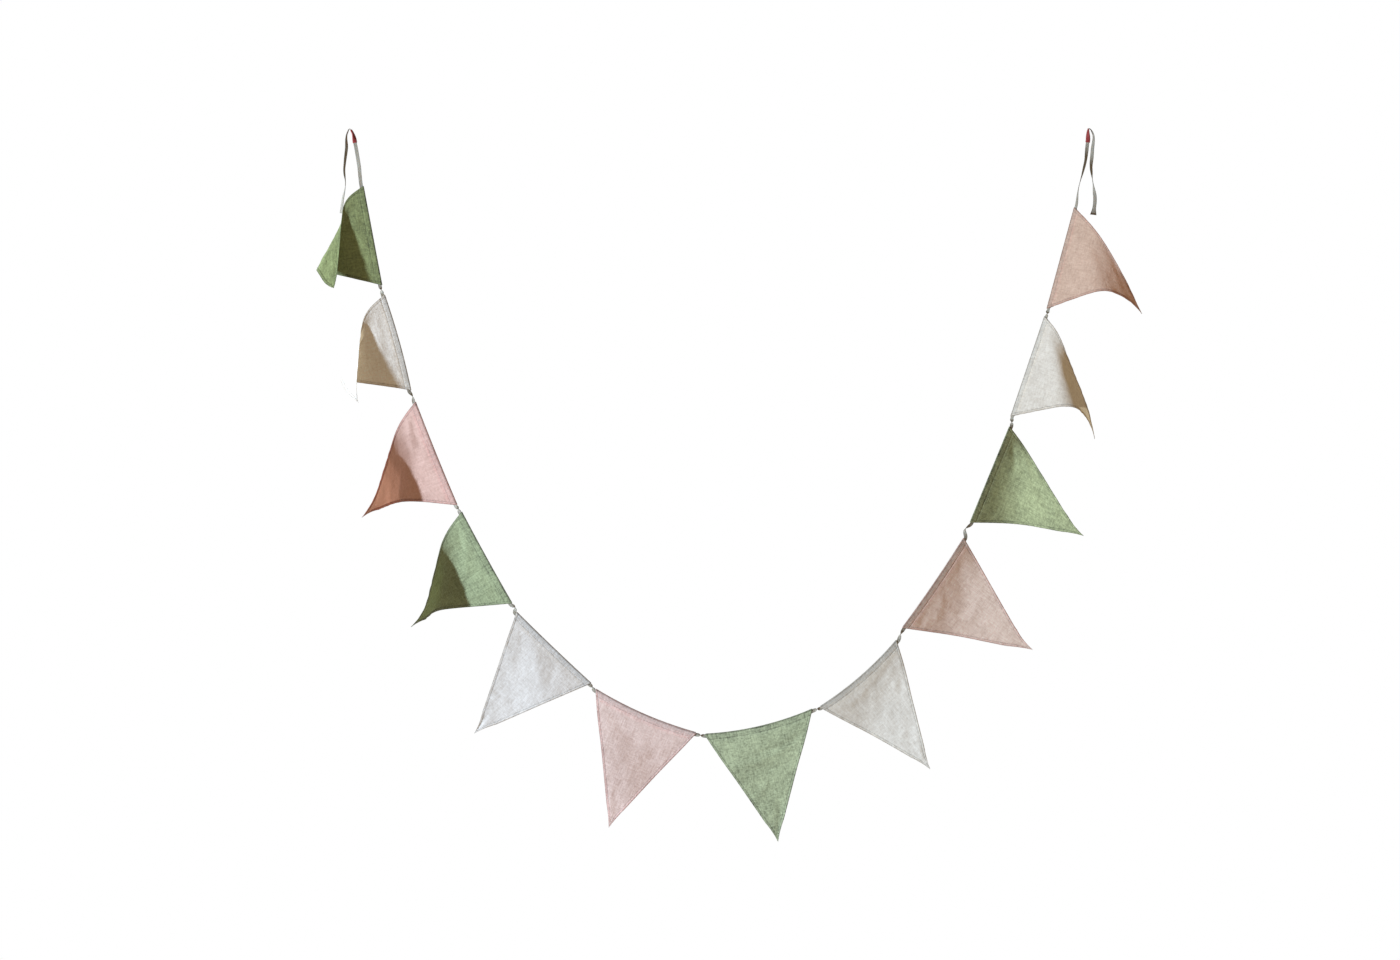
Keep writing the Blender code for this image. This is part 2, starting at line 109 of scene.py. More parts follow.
class Route:
    """A smooth line through the knots, read by its length from the free left end."""

    def __init__(self, knots, headings, steps=14):
        pts = np.array(knots, float)
        line = [self.stretch(pts, headings, k, i / steps)
                for k in range(len(pts) - 1) for i in range(steps)]
        self.line = np.array(line + [pts[-1]])
        spans = np.linalg.norm(np.diff(self.line, axis=0), axis=1)
        self.arc = np.concatenate(([0.0], np.cumsum(spans)))
        self.knot_arcs = self.arc[::steps]
        self.length = self.arc[-1]

    @staticmethod
    def stretch(pts, headings, k, u):
        a, b = pts[k], pts[k + 1]
        span, v = np.linalg.norm(b - a), 1 - u
        return (v * v * (1 + 2 * u) * a + u * u * (1 + 2 * v) * b
                + u * v * span * (v * headings[k] - u * headings[k + 1]))

    def at(self, s):
        return np.stack([np.interp(s, self.arc, self.line[:, i]) for i in range(3)], axis=-1)

    def turn(self, s):
        arcs, turns = np.array(self.twists).T
        k = np.clip(np.searchsorted(arcs, s) - 1, 0, len(arcs) - 2)
        share = smooth((s - arcs[k]) / (arcs[k + 1] - arcs[k]))
        return turns[k] + (turns[k + 1] - turns[k]) * share

    def frame(self, s, turn):
        """Middle, direction, width direction and face of the tape at each length in s."""
        s = np.asarray(s, float)
        ahead = unit(self.at(np.minimum(s + 1, self.length)) - self.at(np.maximum(s - 1, 0)))
        across = unit(np.stack((ahead[..., 2], 0 * s, -ahead[..., 0]), axis=-1))
        face = np.cross(across, ahead)
        a = np.radians(turn)[..., None]
        return (self.at(s), ahead, across * np.cos(a) + face * np.sin(a),
                face * np.cos(a) - across * np.sin(a))


def free_headings(knots):
    steps = np.diff(np.array(knots, float), axis=0)
    lengths = np.linalg.norm(steps, axis=1, keepdims=True)
    ways = steps / lengths
    inner = unit(ways[:-1] * lengths[1:] + ways[1:] * lengths[:-1])
    return [ways[0], *inner, ways[-1]]


def bowed(start, end, drop):
    """Middle knot and the three headings of a stretch that drops below its chord."""
    along = unit(end - start)
    down = np.array((along[2], 0.0, -along[0]))
    stitch_groove_shade = 4 * drop / np.linalg.norm(end - start) * down
    return (start + end) / 2 + drop * down, (unit(along + stitch_groove_shade), along, unit(along - stitch_groove_shade))


def tape_route():
    knots = [row[:3] for row in TIE_LEFT]
    headings = free_headings(knots)
    first = len(knots)
    for row, after in zip(CASINGS, CASINGS[1:] + (None,)):
        left, right = (np.array((row[k][0], 0.0, row[k][1])) for k in ("left", "right"))
        middle, ways = bowed(left, right, row["sag"])
        knots += [left, middle, right]
        headings += ways
        if after:
            entry = np.array((after["left"][0], 0.0, after["left"][1]))
            middle, ways = bowed(right, entry, -row["slack"])
            knots.append(middle)
            headings.append(ways[1])
    last = len(knots)
    tie = [row[:3] for row in TIE_RIGHT]
    route = Route(knots + tie, headings + free_headings(tie))
    arcs = route.knot_arcs
    route.casings = [(arcs[first + 4 * k], arcs[first + 4 * k + 2]) for k in range(len(CASINGS))]
    route.crowns = (arcs[LEFT_CROWN], arcs[last + RIGHT_CROWN])
    marks = [(arc, row[3]) for arc, row in zip(arcs, TIE_LEFT)]
    for half_turns, (row, (start, end)) in enumerate(zip(CASINGS, route.casings)):
        angle = row["turn"] + 180 * half_turns
        marks += [(start - TWIST_MARGIN, angle), (end + TWIST_MARGIN, angle)]
    whole = 180 * (len(CASINGS) - 1)
    route.twists = marks + [(arc, row[3] + whole) for arc, row in zip(arcs[last:], TIE_RIGHT)]
    return route


def mesh_object(name, points, faces, **details):
    """A mesh from places in millimetres, with named values on its points for the shader."""
    mesh = bpy.data.meshes.new(name)
    mesh.from_pydata((np.asarray(points) * MM).tolist(), [], faces)
    for key, values in details.items():
        values = np.asarray(values, np.float32)
        kind = "FLOAT" if values.ndim == 1 else "FLOAT_VECTOR"
        field = "value" if values.ndim == 1 else "vector"
        mesh.attributes.new(key, kind, "POINT").data.foreach_set(field, values.ravel())
    mesh.shade_smooth()
    mesh.update()
    piece = bpy.data.objects.new(name, mesh)
    bpy.context.scene.collection.objects.link(piece)
    return piece


class Wire:
    """A value inside a material.  Sums on it become Math nodes."""

    def __init__(self, paint, socket):
        self.paint, self.socket = paint, socket

    def sum(self, operation, *values):
        return self.paint.node("ShaderNodeMath", {"operation": operation}, dict(enumerate(values)))

    def __add__(self, other):
        return self.sum("ADD", self, other)

    def __sub__(self, other):
        return self.sum("SUBTRACT", self, other)

    def __rsub__(self, other):
        return self.sum("SUBTRACT", other, self)

    def __mul__(self, other):
        return self.sum("MULTIPLY", self, other)

    def __truediv__(self, other):
        return self.sum("DIVIDE", self, other)

    def __mod__(self, other):
        return self.sum("FLOORED_MODULO", self, other)

    def __abs__(self):
        return self.sum("ABSOLUTE", self)

    __radd__, __rmul__ = __add__, __mul__

    def sine(self):
        return self.sum("SINE", self)

    def least(self, other):
        return self.sum("MINIMUM", self, other)

    def most(self, other):
        return self.sum("MAXIMUM", self, other)

    def ramp(self, low, high, a=0.0, b=1.0):
        """Runs smoothly from a to b as the value goes from low to high."""
        return self.paint.node("ShaderNodeMapRange", {"interpolation_type": "SMOOTHSTEP"},
                               {0: self, 1: low, 2: high, 3: a, 4: b})

    def line(self, middle, half, soft):
        """1 within half of middle, fading out over soft."""
        return abs(self - middle).ramp(half, half + soft, 1.0, 0.0)


class Paint:
    """A material being mixed: its Principled shader and the nodes that feed it."""

    def __init__(self, name, **fixed):
        self.material = bpy.data.materials.new(name)
        self.material.use_nodes = True
        self.tree = self.material.node_tree
        self.shader = self.tree.nodes["Principled BSDF"]
        for key, value in fixed.items():
            self.shader.inputs[key.replace("_", " ")].default_value = value

    def node(self, kind, settings=None, values=None, out=0):
        node = self.tree.nodes.new(kind)
        for key, value in (settings or {}).items():
            setattr(node, key, value)
        for key, value in (values or {}).items():
            if isinstance(value, Wire):
                self.tree.links.new(value.socket, node.inputs[key])
            else:
                node.inputs[key].default_value = value
        return Wire(self, node.outputs[out])

    def value(self, name):
        return self.node("ShaderNodeAttribute", {"attribute_name": name}, out="Fac")

    def vector(self, name):
        return self.node("ShaderNodeAttribute", {"attribute_name": name}, out="Vector")

    def parts(self, vector):
        node = self.tree.nodes.new("ShaderNodeSeparateXYZ")
        self.tree.links.new(vector.socket, node.inputs[0])
        return [Wire(self, out) for out in node.outputs]

    def noise(self, vector, size, detail=2.0, rough=0.5, shift=0.0):
        """Soft noise between 0 and 1 whose lumps are size millimetres along x, y and z."""
        if not hasattr(size, "__len__"):
            size = (size, size, size)
        place = self.node("ShaderNodeVectorMath", {"operation": "MULTIPLY_ADD"},
                          {0: vector, 1: tuple(1 / s for s in size), 2: (shift, shift * 1.7, shift)})
        return self.node("ShaderNodeTexNoise", {}, {"Vector": place, "Scale": 1.0, "Detail": detail,
                                                   "Roughness": rough})

    def mix(self, share, a, b, how="MIX"):
        return self.node("ShaderNodeMix", {"data_type": "RGBA", "blend_type": how},
                         {0: share, 6: a, 7: b}, out=2)

    def shade(self, colour, amount):
        """A colour made lighter or darker by a value near 1."""
        grey = self.node("ShaderNodeCombineXYZ", {}, {0: amount, 1: amount, 2: amount})
        return self.mix(1.0, colour, grey, "MULTIPLY")

    def finish(self, colour, roughness, height, depth):
        bump = self.node("ShaderNodeBump", {}, {"Height": height, "Distance": depth, "Strength": 1.0})
        for key, wire in (("Base Color", colour), ("Roughness", roughness), ("Normal", bump)):
            self.tree.links.new(wire.socket, self.shader.inputs[key])
        return self.material


def cotton_tape():
    """Off-white herringbone: fine slanted ribs that turn back at the middle, firm edges, with painted
    shade darkening the colour towards both edges.
    """
    paint = Paint("cotton_tape", Subsurface_Weight=0.3, Subsurface_Radius=(1.0, 0.7, 0.5),
                  Subsurface_Scale=0.0015, Sheen_Weight=0.15)
    tape = paint.vector("tape")
    along, across, _ = paint.parts(tape)
    ribs = ((along + abs(across) * 1.2) * (2 * math.pi / 1.3)).sine()
    # Painted shade: this band makes the colour darker towards both edges of the tape, and in the bump it
    # raises the firm edges.
    edge_and_shade = abs(across).ramp(2.3, 3.1)
    soil = paint.noise(tape, (30, 6, 6), 3)
    fibre = paint.noise(tape, (2.5, 0.35, 0.35), 2)
    fray = paint.value("fray")
    tone = 0.86 + ribs * 0.05 + soil * 0.2 + fibre * 0.12 - edge_and_shade * 0.55 - fray * 0.22
    colour = paint.shade((0.34, 0.33, 0.285, 1), tone)
    return paint.finish(colour, soil * 0.1 + 0.8, ribs * 0.3 + fibre * 0.5 + edge_and_shade * 0.6, 0.0003)


route = tape_route()


def tape_stops():
    """Lengths at which the tape's section is drawn: closer in the ties and the gaps."""
    stops = list(np.arange(0, route.casings[0][0], TIE_STEP))
    for start, end in route.casings:
        stops += list(np.arange(start, end, CASING_STEP))
    for (_, end), (start, _) in zip(route.casings, route.casings[1:]):
        stops += list(np.linspace(end, start, GAP_STEPS, endpoint=False))
    stops += list(np.arange(route.casings[-1][1], route.length, TIE_STEP))
    return np.unique(stops + [route.length])


def tube_faces(rings, n):
    """Walls between rings of n points each, and the two closed ends."""
    walls = [(k * n + i, k * n + (i + 1) % n, (k + 1) * n + (i + 1) % n, (k + 1) * n + i)
             for k in range(rings - 1) for i in range(n)]
    return walls + [tuple(range(n))[::-1], tuple((rings - 1) * n + i for i in range(n))]


def tape_mesh():
    """The ribbon, a little thicker at its woven edges, with a slight curl across."""
    section = [(-1, -.3), (-.97, .38), (-.8, .5), (-.3, .42), (.3, .42), (.8, .5), (.97, .38), (1, .3),
               (.97, -.38), (.8, -.5), (.3, -.42), (-.3, -.42), (-.8, -.5), (-.97, -.38)]
    stops = tape_stops()
    stops = stops[np.concatenate(([True], np.diff(stops) > 0.3))]
    place, _, across, face = route.frame(stops, route.turn(stops))
    opened = np.clip(1 - (route.length - stops) / FRAYED_LENGTH, 0, 1) ** 1.5
    half = (TAPE_WIDTH + (FRAYED_WIDTH - TAPE_WIDTH) * opened) / 2
    wave = 0.25 * np.sin(stops / 9.0) + 0.15 * np.sin(stops / 4.1 + 1)
    points, where, fray = [], [], []
    for k, s in enumerate(stops):
        for a, b in section:
            ruffle = 0.9 * opened[k] * math.sin(a * 7)
            points.append(place[k] + a * half[k] * across[k]
                          + (b * TAPE_THICK + wave[k] * a * a * 0.5 + ruffle) * face[k])
            where.append((s, a * TAPE_WIDTH / 2, b))
            fray.append(opened[k])
    middles = np.array(points).reshape(len(stops), len(section), 3).mean(axis=1)
    return points, tube_faces(len(stops), len(section)), where, fray, middles


points, faces, where, fray, middles = tape_mesh()
tape = mesh_object("tape_ribbon", points, faces, tape=where, fray=fray)
tape.data.materials.append(cotton_tape())
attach(tape, "root")
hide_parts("tape")
[tuple(p * MM) for p in middles]


# Whippings: red sewing thread wound round the tape just below the crown of each tie, about
# thirty tight turns side by side.

WHIPPING_LENGTH = 25.0
WHIPPING_DROP = 3.0       # from the crown
THREAD = 0.85
GAP = 0.4                 # between the tape and the thread
SIDES = 20                # points round the sleeve


def red_thread():
    paint = Paint("red_thread", Sheen_Weight=0.3)
    wound = paint.vector("wound")
    along, around, _ = paint.parts(wound)
    ply = ((around * 3.0 + along * 1.5) * 2.2).sine()
    fuzz = paint.noise(wound, 0.7, 2)
    tone = 0.75 + ply * 0.12 + fuzz * 0.4
    return paint.finish(paint.shade((0.27, 0.012, 0.014, 1), tone), fuzz * 0.2 + 0.55,
                        ply * 0.5 + fuzz * 0.5, 0.0001)


def add_whipping(name, node, start):
    """Turns of thread: the sleeve swells over every turn and dips between two turns."""
    stops = np.linspace(start, start + WHIPPING_LENGTH, 121)
    place, _, across, face = route.frame(stops, route.turn(stops))
    points, where = [], []
    for k, s in enumerate(stops):
        for i in range(SIDES):
            a = 2 * math.pi * i / SIDES
            turns = (s - start) / THREAD + i / SIDES
            swell = GAP + 0.35 * THREAD + 0.4 * THREAD * abs(math.sin(math.pi * turns))
            wide, deep = (abs(v) ** 0.6 * math.copysign(1, v) for v in (math.cos(a), math.sin(a)))
            points.append(place[k] + (TAPE_WIDTH / 2 + swell) * wide * across[k]
                          + (TAPE_THICK / 2 + swell) * deep * face[k])
            where.append((s, 12 * i / SIDES, 0))
    piece = mesh_object(name, points, tube_faces(len(stops), SIDES), wound=where)
    piece.data.materials.append(thread_finish)
    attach(piece, "root")
    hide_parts(node)


thread_finish = red_thread()
add_whipping("whipping_thread_left", "whipping_left", route.crowns[0] + WHIPPING_DROP)
add_whipping("whipping_thread_right", "whipping_right",
             route.crowns[1] - WHIPPING_DROP - WHIPPING_LENGTH)


# Pennants: single triangles of washed linen.  Their two free sides have a narrow hem turned
# to the back, and the third side turns over the tape to the back and is sewn down as the
# casing.  Each one hangs from its upper corner and folds in its own way.

HEM = 5.6                 # width of the turned hem
HEM_STITCH = 4.4          # from the side
CASING_DEPTH = 12.0
SEAM = 9.6                # the casing's seam, from the fold
LAYER = 1.5               # middle of the front layer, from the tape's middle
TURN_CENTRE = -TAPE_WIDTH / 2 + 0.1
FLAT_ZONE = 12.0
TIP_CURL_REACH = 62.0
TIP_PINCH_REACH = 42.0
SAG_FADE = 90.0

# upper, lower: length of the free side from the upper and the lower corner.  bend: length
# over which a side leaves the corner.  out, up: curl of the tip.  pinch: how much the tip
# is drawn in.  The last column: how its dye differs from the other pennants of its colour,
# together with painted light and shade that make it lighter or darker to even out how
# brightly the lamp lights its turned faces.
PENNANTS = (
    dict(name="pennant_01_green", upper=232, lower=229, bend=62, out=2, up=19, pinch=0.2,
         tint=(0.60, 0.59, 0.44)),
    dict(name="pennant_02_white", upper=234, lower=231, bend=81, out=-7, up=5, pinch=0.3,
         tint=(1.08, 1.10, 1.12)),
    dict(name="pennant_03_pink", upper=240, lower=239, bend=83, out=16, up=-7, pinch=0.5,
         tint=(0.71, 0.68, 0.70)),
    dict(name="pennant_04_green", upper=239, lower=240, bend=83, out=19, up=-1, pinch=0.6,
         tint=(0.74, 0.73, 0.76)),
    dict(name="pennant_05_white", upper=235, lower=233, bend=75, out=2, up=0, pinch=0.4,
         tint=(0.90, 0.94, 1.00)),
    dict(name="pennant_06_pink", upper=251, lower=235, bend=60, out=0, up=-3, pinch=0.2,
         tint=(1.05, 1.20, 1.32)),
    dict(name="pennant_07_green", upper=249, lower=237, bend=75, out=0, up=-1, pinch=0.3,
         tint=(1.10, 1.06, 1.22)),
    dict(name="pennant_08_white", upper=243, lower=236, bend=75, out=1, up=-2, pinch=0.3,
         tint=(0.94, 0.98, 0.99)),
    dict(name="pennant_09_pink", upper=239, lower=241, bend=70, out=8, up=2, pinch=0.3,
         tint=(1.10, 1.30, 1.34)),
    dict(name="pennant_10_green", upper=244, lower=231, bend=56, out=8, up=-1, pinch=0.3,
         tint=(1.02, 0.96, 0.94)),
    dict(name="pennant_11_white", upper=243, lower=239, bend=66, out=-6, up=-12, pinch=0.4,
         tint=(0.91, 0.92, 0.90)),
    dict(name="pennant_12_pink", upper=239, lower=239, bend=150, out=2, up=-14, pinch=0.3,
         tint=(0.83, 0.88, 0.82)),
)

# foot: where a fold meets the lower side, as a share from the lower corner.  angle: turn of
# the cloth beyond it towards the viewer.  soft: half the share that it is spread over.
FOLDS = {
    "pennant_01_green": (dict(foot=0.56, angle=166, soft=0.14),),
    "pennant_02_white": (dict(foot=0.58, angle=147, soft=0.05),),
    "pennant_03_pink": (dict(foot=0.4, angle=104, soft=0.24),),
    "pennant_04_green": (dict(foot=0.54, angle=101, soft=0.25),),
    "pennant_05_white": (dict(foot=0.35, angle=-22, soft=0.25), dict(foot=0.7, angle=14, soft=0.2)),
    "pennant_06_pink": (dict(foot=0.35, angle=20, soft=0.25), dict(foot=0.75, angle=-14, soft=0.2)),
    "pennant_07_green": (dict(foot=0.3, angle=-9, soft=0.25), dict(foot=0.7, angle=7, soft=0.25)),
    "pennant_08_white": (dict(foot=0.41, angle=30, soft=0.3),),
    "pennant_09_pink": (dict(foot=0.4, angle=32, soft=0.3),),
    "pennant_10_green": (dict(foot=0.35, angle=68, soft=0.3),),
    "pennant_11_white": (dict(foot=0.55, angle=-116, soft=0.2),),
    "pennant_12_pink": (dict(foot=0.55, angle=-108, soft=0.2),),
}

# Creases and soft waves, given one by one.  start and end: across from the upper free side (0) to
# the lower one (1), and down from the cord edge (0) to the tip (1).  width and rise in mm,
# a rise below 0 being a trough.
CREASES = {
    "pennant_01_green": (
        dict(start=(0.75, 0.02), end=(0.85, 0.30), width=7, rise=-1.0),
        dict(start=(0.30, 0.04), end=(0.55, 0.35), width=9, rise=1.0),
        dict(start=(0.95, 0.35), end=(0.60, 0.60), width=12, rise=-1.2),
        dict(start=(0.10, 0.50), end=(0.35, 0.85), width=8, rise=0.9)),
    "pennant_02_white": (
        dict(start=(0.10, 0.05), end=(0.90, 0.10), width=7, rise=-0.4),
        dict(start=(0.15, 0.10), end=(0.80, 0.17), width=7, rise=0.4),
        dict(start=(0.40, 0.12), end=(0.95, 0.22), width=9, rise=-0.3),
        dict(start=(0.10, 0.60), end=(0.40, 0.80), width=10, rise=0.6)),
    "pennant_03_pink": (
        dict(start=(0.05, 0.05), end=(0.40, 0.11), width=6, rise=-2.2),
        dict(start=(0.03, 0.09), end=(0.45, 0.19), width=6, rise=1.4),
        dict(start=(0.42, 0.30), end=(0.75, 0.34), width=4, rise=-0.8),
        dict(start=(0.50, 0.06), end=(0.80, 0.25), width=12, rise=1.2),
        dict(start=(0.70, 0.10), end=(0.92, 0.45), width=10, rise=-1.0)),
    "pennant_04_green": (
        dict(start=(0.05, 0.04), end=(0.30, 0.14), width=5, rise=-1.6),
        dict(start=(0.30, 0.08), end=(0.60, 0.22), width=8, rise=1.0),
        dict(start=(0.55, 0.10), end=(0.80, 0.34), width=9, rise=-1.0),
        dict(start=(0.80, 0.05), end=(0.97, 0.40), width=7, rise=0.9)),
    "pennant_05_white": (
        dict(start=(0.05, 0.62), end=(0.70, 0.55), width=4, rise=-1.2),
        dict(start=(0.05, 0.66), end=(0.60, 0.60), width=5, rise=0.8),
        dict(start=(0.15, 0.03), end=(0.40, 0.35), width=10, rise=-1.1),
        dict(start=(0.30, 0.04), end=(0.75, 0.30), width=9, rise=0.9),
        dict(start=(0.60, 0.02), end=(0.85, 0.28), width=8, rise=-0.7),
        dict(start=(0.30, 0.80), end=(0.60, 0.97), width=5, rise=-1.5)),
    "pennant_06_pink": (
        dict(start=(0.05, 0.35), end=(0.90, 0.20), width=10, rise=1.0),
        dict(start=(0.05, 0.48), end=(0.90, 0.30), width=8, rise=-1.0),
        dict(start=(0.20, 0.05), end=(0.50, 0.30), width=9, rise=-0.9),
        dict(start=(0.30, 0.60), end=(0.50, 0.95), width=7, rise=1.0)),
    "pennant_07_green": (
        dict(start=(0.05, 0.16), end=(0.60, 0.22), width=6, rise=-1.2),
        dict(start=(0.20, 0.24), end=(0.95, 0.30), width=8, rise=1.0),
        dict(start=(0.15, 0.40), end=(0.75, 0.34), width=7, rise=-1.1),
        dict(start=(0.50, 0.50), end=(0.95, 0.62), width=8, rise=1.0),
        dict(start=(0.30, 0.65), end=(0.60, 0.95), width=7, rise=-1.2)),
    "pennant_08_white": (
        dict(start=(0.06, 0.04), end=(0.45, 0.14), width=6, rise=-0.8),
        dict(start=(0.03, 0.10), end=(0.30, 0.30), width=7, rise=0.7),
        dict(start=(0.10, 0.15), end=(0.25, 0.42), width=7, rise=-0.7),
        dict(start=(0.50, 0.10), end=(0.95, 0.07), width=8, rise=1.0),
        dict(start=(0.10, 0.55), end=(0.60, 0.70), width=9, rise=-1.0),
        dict(start=(0.30, 0.78), end=(0.70, 0.92), width=6, rise=1.4)),
    "pennant_09_pink": (
        dict(start=(0.15, 0.04), end=(0.55, 0.30), width=12, rise=-1.3),
        dict(start=(0.25, 0.30), end=(0.70, 0.36), width=12, rise=-1.3),
        dict(start=(0.55, 0.12), end=(0.88, 0.20), width=8, rise=1.2),
        dict(start=(0.70, 0.03), end=(0.97, 0.12), width=6, rise=-1.0),
        dict(start=(0.80, 0.30), end=(0.60, 0.50), width=9, rise=1.4)),
    "pennant_10_green": (
        dict(start=(0.10, 0.05), end=(0.35, 0.20), width=6, rise=-1.6),
        dict(start=(0.03, 0.12), end=(0.25, 0.35), width=7, rise=1.2),
        dict(start=(0.25, 0.35), end=(0.45, 0.60), width=6, rise=-1.0),
        dict(start=(0.10, 0.60), end=(0.55, 0.72), width=8, rise=1.0)),
    "pennant_11_white": (
        dict(start=(0.10, 0.08), end=(0.60, 0.40), width=12, rise=1.2),
        dict(start=(0.60, 0.06), end=(0.85, 0.40), width=10, rise=-1.2),
        dict(start=(0.85, 0.10), end=(0.98, 0.35), width=6, rise=1.2),
        dict(start=(0.20, 0.70), end=(0.60, 0.92), width=8, rise=-1.6)),
    "pennant_12_pink": (
        dict(start=(0.55, 0.06), end=(0.95, 0.16), width=9, rise=-1.8),
        dict(start=(0.15, 0.10), end=(0.60, 0.45), width=12, rise=1.0),
        dict(start=(0.05, 0.30), end=(0.25, 0.70), width=8, rise=-1.2),
        dict(start=(0.30, 0.80), end=(0.60, 0.95), width=7, rise=1.2)),
}

VIEWER = np.array((0.0, -1.0, 0.0))


class Pennant:
    """Takes a place on the flat cut cloth to its place in space.

    x runs along the cord edge from the upper corner and y away from it.  Straight threads
    from the upper corner keep their lengths: each leaves flat and bends into its fold.
    """
    THREADS = 161
    STATIONS = 61

    def __init__(self, row, casing, turn):
        self.row, self.turn = row, turn
        self.start, self.end = casing
        self.width = self.end - self.start
        left, right = route.at(self.start), route.at(self.end)
        self.side = 1 if right[2] > left[2] else -1
        self.t = np.linspace(0, 1, self.THREADS)
        self.s = np.linspace(0, 1, self.STATIONS)
        a, b, w = row["upper"], row["lower"], self.width
        tip_x = (a * a - b * b + w * w) / (2 * w)
        self.lower = np.array((w, 0.0))
        self.tip = np.array((tip_x, math.sqrt(a * a - tip_x * tip_x)))
        self.axis = unit(self.lower / 2 - self.tip)
        self.grid = self.hang()

    def cord_frame(self, x):
        arc = self.start + x if self.side < 0 else self.end - x
        place, ahead, down, face = route.frame(arc, self.turn)
        return place, down, face

    def cord_edge(self, x):
        place, down, face = self.cord_frame(x)
        return place + TURN_CENTRE * down + LAYER * face

    def fold_rate(self, t):
        rate = 0.0
        for fold in FOLDS[self.row["name"]]:
            x = (t - fold["foot"]) / fold["soft"]
            if abs(x) < 1:
                rate += fold["angle"] * (1 + math.cos(math.pi * x)) / (2 * fold["soft"])
        return rate

    def thread_directions(self, angles):
        along = unit(self.cord_edge(self.width) - self.cord_edge(0))
        down = self.side * unit(np.array((-along[2], 0.0, along[0])))
        turn = math.radians(self.turn)
        tangent = down * math.cos(turn) + VIEWER * math.sin(turn)
        normal = VIEWER * math.cos(turn) - down * math.sin(turn)
        flat = [along * math.cos(a) + tangent * math.sin(a) for a in angles]
        folded, ray, parts = [along], along, 3
        for k in range(1, len(angles)):
            step = (angles[k] - angles[k - 1]) / parts
            span = (self.t[k] - self.t[k - 1]) / parts
            for part in range(parts):
                fold = math.radians(self.fold_rate(self.t[k - 1] + (part + 0.5) * span) * span)
                tangent, normal = (tangent * math.cos(fold) + normal * math.sin(fold),
                                   normal * math.cos(fold) - tangent * math.sin(fold))
                ray, tangent = (ray * math.cos(step) + tangent * math.sin(step),
                                tangent * math.cos(step) - ray * math.sin(step))
            folded.append(ray)
        return np.array(flat), np.array(folded)

    def hang(self):
        feet = self.lower + self.t[:, None] * (self.tip - self.lower)
        lengths = np.linalg.norm(feet, axis=1)
        flat, folded = self.thread_directions(np.arctan2(feet[:, 1], feet[:, 0]))
        parts = 2
        grid = np.zeros((self.THREADS, self.STATIONS, 3))
        grid[:] = self.cord_edge(0)
        place = grid[:, 0].copy()
        for j in range(1, self.STATIONS):
            for part in range(parts):
                run = lengths * (j - 1 + (part + 0.5) / parts) / (self.STATIONS - 1)
                share = smooth((run - FLAT_ZONE) / self.row["bend"])[:, None]
                ahead = unit(flat * (1 - share) + folded * share)
                place += ahead * lengths[:, None] / (self.STATIONS - 1) / parts
            grid[:, j] = place
        on_cloth = feet[:, None, :] * self.s[None, :, None]
        return grid + self.cord_bow(on_cloth) + self.tip_curl(on_cloth)

    def cord_bow(self, flat):
        start, end = self.cord_edge(0), self.cord_edge(self.width)
        bow = np.array([self.cord_edge(s * self.width) - start - s * (end - start) for s in self.s])
        share = np.clip(flat[:, :, 0] / self.width, 0, 1)
        kept = 1 - smooth((flat[:, :, 1] - CASING_DEPTH) / SAG_FADE)
        return np.stack([kept * np.interp(share, self.s, bow[:, i]) for i in range(3)], axis=2)

    def tip_curl(self, flat):
        near = np.clip(1 - np.linalg.norm(flat - self.tip, axis=2) / TIP_CURL_REACH, 0, 1) ** 2
        return near[:, :, None] * np.array((self.side * self.row["out"], 0.0, self.row["up"]))

    def lay(self, flat):
        """Places in space of many places on the flat cloth."""
        reach = np.linalg.norm(flat - self.tip, axis=-1)
        pull = (self.row["pinch"] * np.maximum(0, 1 - reach / TIP_PINCH_REACH))[..., None]
        flat = flat + (self.tip + self.axis * reach[..., None] - flat) * pull
        side = self.tip - self.lower
        cross = flat[..., 0] * side[1] - flat[..., 1] * side[0]
        t = np.clip(flat[..., 1] * self.lower[0] / np.maximum(cross, 1e-9), 0, 1)
        foot = np.linalg.norm(self.lower + t[..., None] * side, axis=-1)
        a = t * (self.THREADS - 1)
        b = np.minimum(np.linalg.norm(flat, axis=-1) / foot, 1) * (self.STATIONS - 1)
        i = np.minimum(a.astype(int), self.THREADS - 2)
        j = np.minimum(b.astype(int), self.STATIONS - 2)
        a, b = (a - i)[..., None], (b - j)[..., None]
        g = self.grid
        return ((1 - a) * (1 - b) * g[i, j] + a * (1 - b) * g[i + 1, j]
                + (1 - a) * b * g[i, j + 1] + a * b * g[i + 1, j + 1])

    def face(self, flat, step=2.5):
        """Normals towards the viewer's side, read a little inside the cut edges."""
        inward = unit((self.lower + self.tip) / 3 - flat)
        flat = flat + inward * 2 * step
        dx = self.lay(flat + (step, 0)) - self.lay(flat - (step, 0))
        dy = self.lay(flat + (0, step)) - self.lay(flat - (0, step))
        return self.side * unit(np.cross(dx, dy))

    def edges_at(self, y):
        """x of the upper and of the lower free side at depth y."""
        share = y / self.tip[1]
        return share * self.tip[0], self.width + share * (self.tip[0] - self.width)


# Across a hem, from the raw edge behind round the side to the front: how far in from the side,
# and how far behind the front
HEM_STEPS = ((HEM, 0.5), (4.4, 0.4), (2.4, 0.6), (0.7, 0.7), (0.15, 0.55), (0.0, 0.3), (0.15, 0.06),
             (0.45, 0), (1.4, 0), (2.8, 0), (3.8, 0), (4.4, 0), (5.0, 0), (HEM, 0), (6.2, 0), (7.6, 0))


